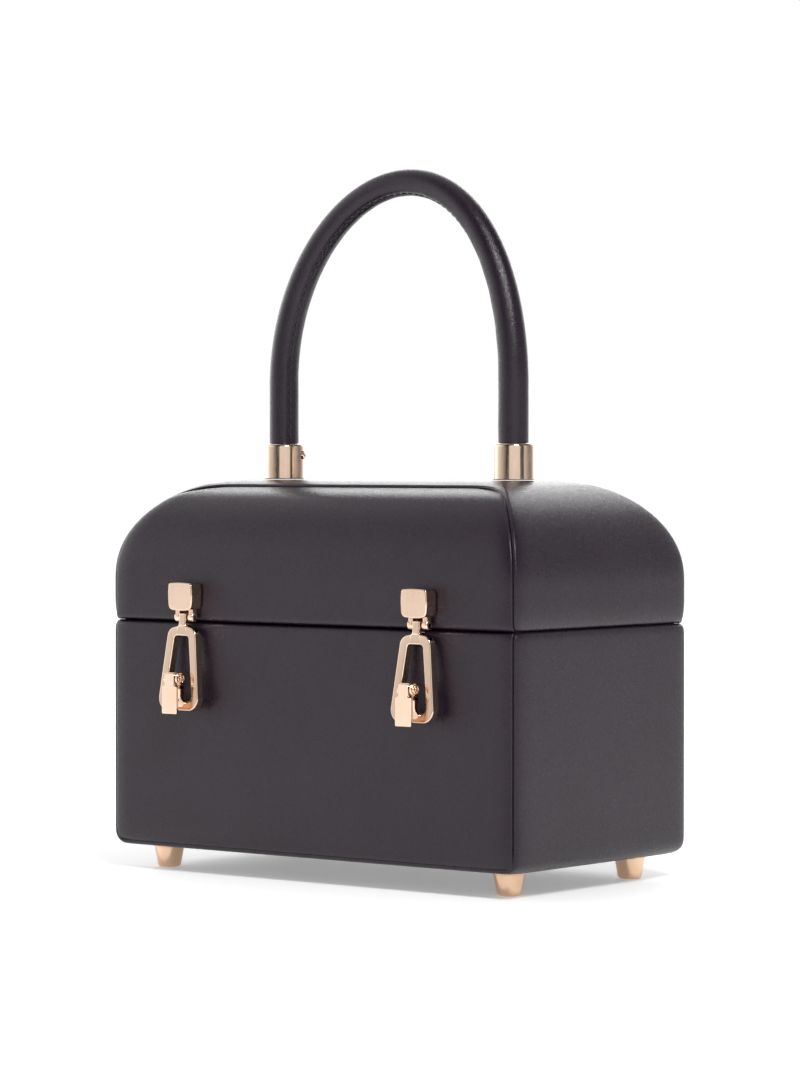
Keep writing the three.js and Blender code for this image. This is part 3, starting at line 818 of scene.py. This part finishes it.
def gripLine():
    line = [Vector((-grip["legX"], 0, z)) for z in np.linspace(grip["lowZ"], grip["legTop"], grip["legRings"])]
    for k in range(1, grip["archRings"]):
        t = math.pi * k / grip["archRings"]
        up = math.sin(t)
        line.append(Vector((
            -grip["legX"] * math.cos(t),
            grip["lean"] * up * up,
            grip["legTop"] + (grip["apex"] - grip["legTop"]) * up,
        )))
    line += [Vector((-p.x, p.y, p.z)) for p in reversed(line[:grip["legRings"]])]
    return [p + Vector((0, case["middleY"], 0)) for p in line]


def gripFrames(line):
    frames = []
    for k, here in enumerate(line):
        along = (line[min(k + 1, len(line) - 1)] - line[max(k - 1, 0)]).normalized()
        front = Vector((0, -1, 0))
        front = (front - along * front.dot(along)).normalized()
        inner = along.cross(front)
        rise = (here.z - grip["legTop"]) / (grip["apex"] - grip["legTop"])
        share = min(max(rise, 0), 1)
        radius = (grip["legDiameter"] + (grip["apexDiameter"] - grip["legDiameter"]) * share) / 2
        frames.append((here, along, inner, front, radius))
    return frames


def gripMesh(frames):
    loops = []
    seam = math.radians(grip["seamTurn"])
    width = math.radians(grip["seamWidth"])
    for number, (here, along, inner, front, radius) in enumerate(frames):
        loop = []
        for k in range(grip["sides"]):
            t = 2 * math.pi * k / grip["sides"] + seam
            off = abs((t - seam + math.pi) % (2 * math.pi) - math.pi)
            dip = grip["seamDepth"] * math.exp(-(off / width) ** 2)
            swell = grip["seamSwell"] * math.exp(-((off - grip["swellAt"] * width) / width) ** 2)
            wave = grip["pucker"] * math.sin(0.9 * number + 3 * t) * math.exp(-(off / grip["puckerReach"]) ** 2)
            reach = radius - dip + swell + wave
            loop.append(tuple(here + (inner * math.cos(t) + front * math.sin(t)) * reach))
        loops.append(loop)
    points, faces = bridge(loops)
    return toMesh("grip", points, faces)


frames = gripFrames(gripLine())
finishPiece("grip", gripMesh(frames), "lid", [leather], ["handle"], sharp=0)


def gripStitches(frames):
    # one row of short stitches that bridge the seam
    lengths = [0.0]
    for a, b in zip(frames, frames[1:]):
        lengths.append(lengths[-1] + (b[0] - a[0]).length)
    start, end = grip["stitchFrom"], lengths[-1] - grip["stitchFrom"]
    count = int((end - start) / (grip["stitch"] + grip["stitchGap"]))
    seam = math.radians(grip["seamTurn"])
    ring = [2 * math.pi * k / grip["stitchSides"] for k in range(grip["stitchSides"])]
    sets = []
    for k in range(count):
        middle = start + (k + 0.5) * (end - start) / count
        loops = []
        for share in np.linspace(-1, 1, 9):
            place = middle + share * grip["stitch"] / 2
            index = int(np.searchsorted(lengths, place))
            between = (place - lengths[index - 1]) / (lengths[index] - lengths[index - 1])
            here = frames[index - 1][0].lerp(frames[index][0], between)
            _, along, inner, front, radius = frames[index]
            out = inner * math.cos(seam) + front * math.sin(seam)
            side = along.cross(out)
            thick = grip["stitchThick"] / 2 * math.sqrt(max(1 - share ** 4, 0.08))
            height = radius - grip["seamDepth"] + grip["stitchProud"] - grip["stitchBend"] * share ** 4
            centre = here + out * height + side * (grip["stitchSlant"] * share)
            loops.append([tuple(centre + (out * math.cos(t) + side * math.sin(t)) * thick) for t in ring])
        sets.append(bridge(loops))
    return joinSets(sets)


mesh = toMesh("grip_stitches", *gripStitches(frames))
finishPiece("grip_stitches", mesh, "lid", [thread])
print("handle made")


# ferrules with their set screws

cup = {
    "diameter": 16,
    "height": 14,
    "foot": 153.5,
    "bore": 6.1,
    "boreLow": 2.0,
    "boreEdge": 0.4,
    "lip": 1.3,
    "footEdge": 0.35,
    "sides": 96,
    # slotTurn is in radians, turn in degrees
    "screw": {"diameter": 3.4, "z": 9.5, "proud": 0.6, "into": 1.2, "edge": 0.22, "slot": 0.5, "slotDeep": 0.35,
              "slotTurn": 0.5, "turn": 20},
}


def cupProfile():
    outer, height, bore = cup["diameter"] / 2, cup["height"], cup["bore"]
    lip, soft, low = cup["lip"], cup["boreEdge"], cup["footEdge"]
    turn = quarterTurn(6)
    rows = [(bore, cup["boreLow"]), (bore, height - soft)]
    rows += [(bore + soft * (1 - math.cos(t)), height - soft * (1 - math.sin(t))) for t in turn[1:]]
    rows += [(outer - lip * (1 - math.sin(t)), height - lip * (1 - math.cos(t))) for t in turn]
    rows += [(outer - low * (1 - math.cos(t)), low * (1 - math.sin(t))) for t in turn]
    return rows


def screwHead():
    # a small round head with a straight slot, facing -Y
    screw = cup["screw"]
    radius = screw["diameter"] / 2
    top = screw["proud"]
    lowest = math.asin(screw["slot"] / 2 / radius)
    sets = []
    for sign in (1, -1):
        turn = np.linspace(lowest, math.pi - lowest, 21)[::sign]
        ring = np.array([(radius * math.cos(t), sign * radius * math.sin(t)) for t in turn])
        sets.append(plate(ring, top, -screw["into"], screw["edge"], steps=3))
    shank = radius - 0.3
    floor = turned([(shank, -screw["into"]), (shank, top - screw["slotDeep"])], 24)
    sets.append(placed(floor, Matrix(((1, 0, 0, 0), (0, 0, -1, 0), (0, 1, 0, 0), (0, 0, 0, 1)))))
    return joinSets(sets)


def addPlaced(name, made, matrix, body, material, replaced, sharp=40):
    points, faces = placed(made, matrix)
    finishPiece(name, toMesh(name, points, faces), body, [material], [replaced], sharp)


for side, name in ((-1, "left"), (1, "right")):
    at = Matrix.Translation((side * grip["legX"], case["middleY"], cup["foot"]))
    made = turned(cupProfile(), cup["sides"])
    addPlaced(f"cup_{name}", made, at, "lid", roseGold, f"ferrule_{name}")
    # the screw sits in the wall that faces the other leg, turned a little to the back
    screw = cup["screw"]
    seat = Matrix.Translation((0, -cup["diameter"] / 2, screw["z"]))
    turn = Matrix.Rotation(-side * (math.pi / 2 + math.radians(screw["turn"])), 4, "Z")
    head = placed(screwHead(), seat @ Matrix.Rotation(screw["slotTurn"], 4, "Y"))
    addPlaced(f"cup_screw_{name}", head, at @ turn, "lid", roseGold, f"ferrule_screw_{name}")
print("ferrules made")


# feet

foot = {
    "top": 12.4,
    "bottom": 9.4,
    "height": 8.9,
    "round": 1.3,
    "rim": 0.6,
    "rimStep": 0.3,
    "sides": 72,
    "x": 84.4,
    "y": 38.4,
}


def footProfile():
    # from the middle of the sole up the side to the middle of the top
    top, bottom, height = foot["top"] / 2, foot["bottom"] / 2, foot["height"]
    soft, rim = foot["round"], foot["rim"]
    wide, tall = top - foot["rimStep"] - bottom, height - 1.5 * rim - soft
    rows = [(0.6, 0.0), (bottom - soft - 1.2, 0.0)]
    rows += [(bottom - soft + soft * math.sin(t), soft * (1 - math.cos(t))) for t in quarterTurn(6)]
    rows += [(bottom + wide * k / 5, soft + tall * k / 5) for k in range(1, 6)]
    rows += [(top - 0.05, height - rim - 0.12), (top, height - rim), (top, height - 0.2)]
    rows += [(top - 0.15, height), (0.6, height)]
    return rows


for ySide, yName in ((-1, "front"), (1, "back")):
    for side, name in ((-1, "left"), (1, "right")):
        made = turned(footProfile(), foot["sides"])
        at = Matrix.Translation((side * foot["x"], case["middleY"] + ySide * foot["y"], 0))
        addPlaced(f"stud_{yName}_{name}", made, at, "base", footGold, f"foot_{yName}_{name}")
print("feet made")


# latches

latch = {
    "x": 57.8,
    "face": -51.2,  # the padded front, from which depths run outwards
    "block": {"half": 5.95, "low": 102.9, "high": 113.4, "depth": 6.4, "back": 0.3, "bevel": 0.5,
              "roundLow": 2.2, "roundHigh": 1.2, "bow": 0.22},
    "knuckle": {"z": 100.1, "out": 2.6, "radius": 1.85, "inner": 2.0, "outer": 4.8, "edge": 0.6},
    "web": {"inset": 0.3, "round": 0.2, "into": 1.5, "half": 1.3, "bevel": 0.35},  # from block to knuckles
    # outline and hole: (x, z, radius) of the right half's corners
    "loop": {"front": 4.9, "back": 1.3, "bevel": 0.45, "hang": 4.5,
             "outline": [(10.6, 63.9, 4.6), (6.9, 95.6, 4.0)], "hole": [(7, 67, 2.6), (3.6, 92.8, 1.5)]},
    "neck": {"half": 1.7, "low": 96.6, "roundLow": 0.9, "past": 1.4, "roundHigh": 0.6, "edge": 0.25},
    "lever": {"z": 76.5, "out": 9.55, "radius": 2.5, "front": 12.6, "back": 11.2, "bevel": 0.3, "low": 63,
              "shoulder": 73.6, "step": 0.5, "half": 3.8, "upperHalf": 2.3, "round": 0.5, "upperRound": 0.4,
              "topDrop": 0.2, "seat": 0.6},
    "barrelEnd": [(0, 0.25), (0.08, 0.08), (0.25, 0)],  # (from the end, inwards)
    "ear": {"inner": 2.6, "outer": 3.3, "dome": 1.45, "domeRise": 0.35, "armLow": 72.6, "armFront": 10.9,
            "armBack": 7.3, "armRound": 0.2, "armBevel": 0.12},
    # (height, front, back) of the lug up from the loop's lower bar
    "lug": [(64.4, 6.6, 4.4), (66, 8, 4.4), (67.6, 9.5, 6), (68.7, 10.5, 6.9), (69.6, 10.9, 7.3),
            (73.3, 10.9, 7.3), (73.6, 10.7, 7.5)],
}


def blockParts():
    block, knuckle, web = latch["block"], latch["knuckle"], latch["web"]
    half = block["half"]
    right = [(half, block["low"], block["roundLow"]), (half, block["high"], block["roundHigh"])]
    outline = rounded(mirrored(right), bow=block["bow"])
    sets = [plate(outline, block["depth"], block["back"], block["bevel"], steps=5)]
    for side in (-1, 1):
        x0, x1 = sorted((side * knuckle["inner"], side * knuckle["outer"]))
        sets.append(rodX(x0, x1, knuckle["radius"], -knuckle["out"], knuckle["z"], knuckle["edge"]))
        x0, x1 = x0 + web["inset"], x1 - web["inset"]
        low, high, soft = knuckle["z"], block["low"] + web["into"], web["round"]
        shape = rounded([(x0, low, soft), (x1, low, soft), (x1, high, soft), (x0, high, soft)], steps=2)
        front, back = knuckle["out"] + web["half"], knuckle["out"] - web["half"]
        sets.append(plate(shape, front, back, web["bevel"], steps=3))
    return joinSets(sets)


def loopParts():
    knuckle, loop, neck = latch["knuckle"], latch["loop"], latch["neck"]
    half = neck["half"]
    right = loop["outline"] + [(half, neck["low"], neck["roundLow"]),
                               (half, knuckle["z"] + neck["past"], neck["roundHigh"])]
    outline = rounded(mirrored(right), steps=10)
    hole = rounded(mirrored(loop["hole"]), steps=10)
    plain = plate(outline, loop["front"], loop["back"], loop["bevel"], hole=hole)
    axis = Matrix.Translation((0, -knuckle["out"], knuckle["z"]))
    hung = placed(plain, axis @ Matrix.Rotation(math.radians(-loop["hang"]), 4, "X") @ axis.inverted())
    barrel = rodX(-half, half, knuckle["radius"], -knuckle["out"], knuckle["z"], neck["edge"])
    return joinSets([hung, barrel] + lugParts())


def lugParts():
    # the lug rises from the lower bar, with a round ear each side of the lever
    lever, ear = latch["lever"], latch["ear"]
    loops = []
    for z, front, back in latch["lug"]:
        soft = min(1.5, 0.42 * (front - back))
        plan = rounded(mirrored([(ear["outer"], -front, soft), (ear["outer"], -back, 0.4)]), steps=5)
        loops.append([(x, y, z) for x, y in plan])
    parts = [bridge(loops)]
    # the ear's raised ring, then the dome of the pin's head
    radius, thick = lever["radius"], ear["outer"] - ear["inner"]
    profile = [(0.01, 0), (radius, 0), (radius, thick), (radius - 0.15, thick + 0.18),
               (radius - 0.6, thick + 0.22), (radius - 0.75, thick - 0.05), (1.55, thick - 0.08)]
    for t in quarterTurn(5)[:-1]:
        profile.append((ear["dome"] * math.cos(t), thick + 0.1 + ear["domeRise"] * math.sin(t)))
    back, front, soft = ear["armBack"], ear["armFront"], ear["armRound"]
    low, high = ear["armLow"], lever["z"]
    corners = [(back, low, soft), (back, high, soft), (front, high, soft), (front, low, soft)]
    arm = rounded(corners, steps=2)[::-1]  # anticlockwise
    for sign in (-1, 1):
        facing = alongX if sign > 0 else Matrix.Scale(-1, 4, (1, 0, 0)) @ alongX
        at = Matrix.Translation((sign * ear["inner"], -lever["out"], lever["z"]))
        parts.append(placed(turned(profile, 40), at @ facing))
        x0, x1 = sorted((sign * ear["inner"], sign * ear["outer"]))
        made = plate(arm, x1, x0, ear["armBevel"], steps=2)
        parts.append(placed(made, Matrix(((0, -1, 0, 0), (-1, 0, 0, 0), (0, 0, 1, 0), (0, 0, 0, 1)))))
    return parts


def leverParts():
    lever = latch["lever"]
    half, upper, radius = lever["half"], lever["upperHalf"], lever["radius"]
    outline = rounded(mirrored([
        (half, lever["low"], lever["round"]),
        (half, lever["shoulder"], lever["round"]),
        (upper, lever["shoulder"] + lever["step"], lever["upperRound"]),
        (upper, lever["z"] + radius - lever["topDrop"], lever["upperRound"]),
    ]), steps=5)
    sets = [plate(outline, lever["front"], lever["back"], lever["bevel"], steps=3)]
    # the rolled barrel behind the plate's upper end
    seat = -lever["back"] - lever["seat"]
    roll = [(seat, lever["z"] - radius)]
    for t in np.linspace(-math.pi / 2, math.pi / 2, 17):
        roll.append((-lever["out"] + radius * math.cos(t), lever["z"] + radius * math.sin(t)))
    ring = np.array(roll + [(seat, lever["z"] + radius)])
    ends = [(x - upper, move) for x, move in latch["barrelEnd"]]
    ends += [(-x, move) for x, move in reversed(ends)]
    sets.append(bridge([[(x, y, z) for y, z in inset(ring, move)] for x, move in ends]))
    return joinSets(sets)


for side, name in ((-1, "left"), (1, "right")):
    at = Matrix.Translation((side * latch["x"], latch["face"], 0))
    makers = (
        (f"catch_block_{name}", blockParts, "lid", f"latch_block_{name}"),
        (f"catch_loop_{name}", loopParts, f"hasp_{name}", f"hasp_{name}"),
        (f"catch_lever_{name}", leverParts, f"lever_{name}", f"lever_{name}"),
    )
    for pieceName, parts, body, replaced in makers:
        addPlaced(pieceName, parts(), at, body, roseGold, replaced, sharp=35)
print("latches made")

# small metal that keeps its solid: pins, keepers and the hinges at the back
kept = [n for n in nodes if n.startswith(("hasp_pin", "lever_pin", "keeper", "rear_hinge"))]
for name in kept:
    nodes[name].data.shade_smooth()
    nodes[name].data.set_sharp_from_angle(angle=math.radians(35))
    dressSolid(nodes[name], roseGold, 0.22, 50)
print("small metal dressed")


# floor, light and camera

# the floor glows, which is painted light: from one strength near the bag to the other further out, so that a
# painted shade stays under the bag
floorLook = {
    "size": 8,
    "color": (0.93, 0.93, 0.93, 1),
    "roughness": 0.8,
    "glow": (0.28, 0.46),
    "from": 0.1,
    "to": 0.22,
}
floorMesh = bpy.data.meshes.new("floor")
reach = floorLook["size"] / 2
corners = [(x * reach, y * reach, 0) for x, y in ((-1, -1), (1, -1), (1, 1), (-1, 1))]
floorMesh.from_pydata(corners, [], [(0, 1, 2, 3)])
floor = addObject("floor", floorMesh)
floorMaterial, floorTree, floorShader, place = newMaterial("floor_white_glow")
floorShader.inputs["Base Color"].default_value = floorLook["color"]
floorShader.inputs["Roughness"].default_value = floorLook["roughness"]
floorShader.inputs["Emission Color"].default_value = (1, 1, 1, 1)
# painted light: the glow whitens the floor all round, and is weaker under the bag as painted shade there
far = addNode(floorTree, "ShaderNodeVectorMath", operation="LENGTH")
floorTree.links.new(place, far.inputs[0])
glow = mapRange(floorTree, far.outputs["Value"], floorLook["from"], floorLook["to"], *floorLook["glow"])
floorTree.links.new(glow, floorShader.inputs["Emission Strength"])
floorMesh.materials.append(floorMaterial)

studio = {
    "world": 1.0,
    # (azimuth in degrees, brightness) round the bag: bright behind it, dark flags in front
    "round": [(-180, 2.5), (-163, 2.0), (-140, 0.85), (-124, 0.66), (-112, 0.4), (-100, 0.2), (-93, 0.05),
              (-80, 0.05), (-74, 0.85), (-40, 0.9), (-18, 0.85), (-13, 0.1), (4, 0.1), (10, 0.7), (45, 0.2),
              (66, 0.42), (95, 1.4), (115, 2.4), (142, 2.4), (160, 2.4), (180, 2.5)],
    # (height of the direction, brightness) from straight down to straight up
    "rise": [(-1, 0.95), (0.02, 0.95), (0.12, 1.25), (0.26, 1.15), (0.5, 0.55), (0.75, 0.3), (1, 0.36)],
    "key": {"at": (-1.2, -1.3, 0.9), "size": (1.2, 1.2), "power": 1.5},
    "strip": {"at": (0.98, -0.6, 1.3), "size": (0.4, 0.55), "power": 18},
    "top": {"at": (-1.1, 1.9, 1.35), "size": (1.7, 1.0), "power": 9},
}


def makeWorld():
    world = bpy.data.worlds.new("studio")
    world.use_nodes = True
    tree = world.node_tree
    link = tree.links.new
    background = tree.nodes["Background"]
    background.inputs["Strength"].default_value = studio["world"]
    parts = tree.nodes.new("ShaderNodeSeparateXYZ")
    link(tree.nodes.new("ShaderNodeTexCoord").outputs["Generated"], parts.inputs["Vector"])
    azimuth = addNode(tree, "ShaderNodeMath", operation="ARCTAN2")
    link(parts.outputs["Y"], azimuth.inputs[0])
    link(parts.outputs["X"], azimuth.inputs[1])
    turn = mapRange(tree, azimuth.outputs["Value"], -math.pi, math.pi)
    around = ramp(tree, turn, [((a + 180) / 360, grey(v)) for a, v in studio["round"]])
    height = mapRange(tree, parts.outputs["Z"], -1, 1)
    rise = ramp(tree, height, [((h + 1) / 2, grey(v)) for h, v in studio["rise"]])
    # plain white behind the bag
    plain = addNode(tree, "ShaderNodeMix", data_type="RGBA")
    link(tree.nodes.new("ShaderNodeLightPath").outputs["Is Camera Ray"], plain.inputs["Factor"])
    link(multiplied(tree, around, rise, 1.0), plain.inputs["A"])
    plain.inputs["B"].default_value = (1, 1, 1, 1)
    link(plain.outputs["Result"], background.inputs["Color"])
    bpy.context.scene.world = world


makeWorld()


def softBox(name, at, size, power, target=(0, 0, 0.12)):
    light = bpy.data.lights.new(name, "AREA")
    light.shape = "RECTANGLE"
    light.size, light.size_y = size
    light.energy = power
    lamp = addObject(name, light)
    lamp.location = at
    lamp.rotation_euler = (Vector(target) - Vector(at)).to_track_quat("-Z", "Y").to_euler()


for name in ("key", "strip", "top"):
    softBox(name, **studio[name])

view = {"at": (0.9637, -1.1961, 0.1622), "azimuth": 38.7, "down": 1.11, "focal": 3947, "tall": 1067}
cameraData = bpy.data.cameras.new("camera")
cameraData.sensor_fit = "VERTICAL"
cameraData.sensor_height = 36
cameraData.lens = view["focal"] / view["tall"] * cameraData.sensor_height
camera = addObject("camera", cameraData)
camera.location = view["at"]
camera.rotation_euler = (math.radians(90 - view["down"]), 0, math.radians(view["azimuth"]))
bpy.context.scene.camera = camera
bpy.context.scene.view_settings.view_transform = "Standard"
print("floor, light and camera made")

bpy.context.view_layer.update()
